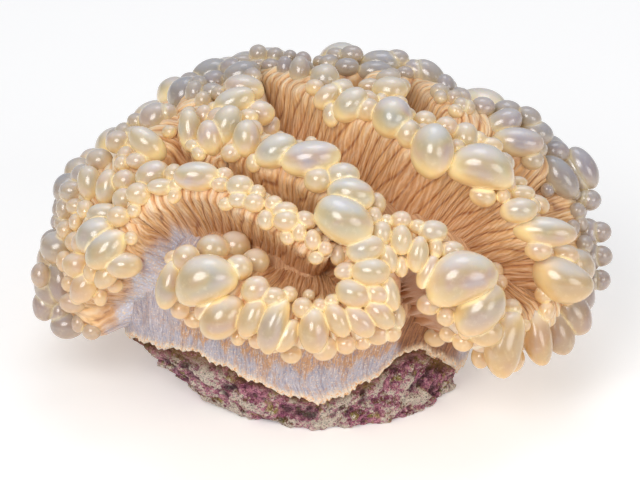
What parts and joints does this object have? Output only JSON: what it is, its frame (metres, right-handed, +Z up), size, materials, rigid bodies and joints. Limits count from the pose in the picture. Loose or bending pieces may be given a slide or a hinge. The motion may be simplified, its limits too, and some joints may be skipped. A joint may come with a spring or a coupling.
{
  "type": "bubble coral colony",
  "caption": "Bubble coral colony: winding folds with rounded bubbles along their crests, on a fleshy domed base over a piece of reef rock that is cut flat underneath.",
  "frame": {"origin": "in the flat cut under the rock, below the middle of the colony", "axes": "+X along the colony's longest side, -Y towards the side in the picture, +Z up"},
  "size_m": [0.2269, 0.1946, 0.1316],
  "materials": {
    "rock": "porous reef rock",
    "mantle": "soft, slightly wet tissue",
    "flesh": "soft, slightly wet tissue"
  },
  "bodies": {
    "root": {"rock_base": "rock", "colony_base": "mantle", "left_lobe": "flesh", "front_arch": "flesh", "left_crest": "flesh", "centre_fold": "flesh", "front_curl": "flesh", "upper_right_fold": "flesh", "right_curl": "flesh", "crown_fold": "flesh", "right_outer_fold": "flesh", "back_arch": "flesh", "back_curl": "flesh", "back_inner_fold": "flesh", "back_low_fold": "flesh", "back_left_fold": "flesh"}
  },
  "joints": []
}
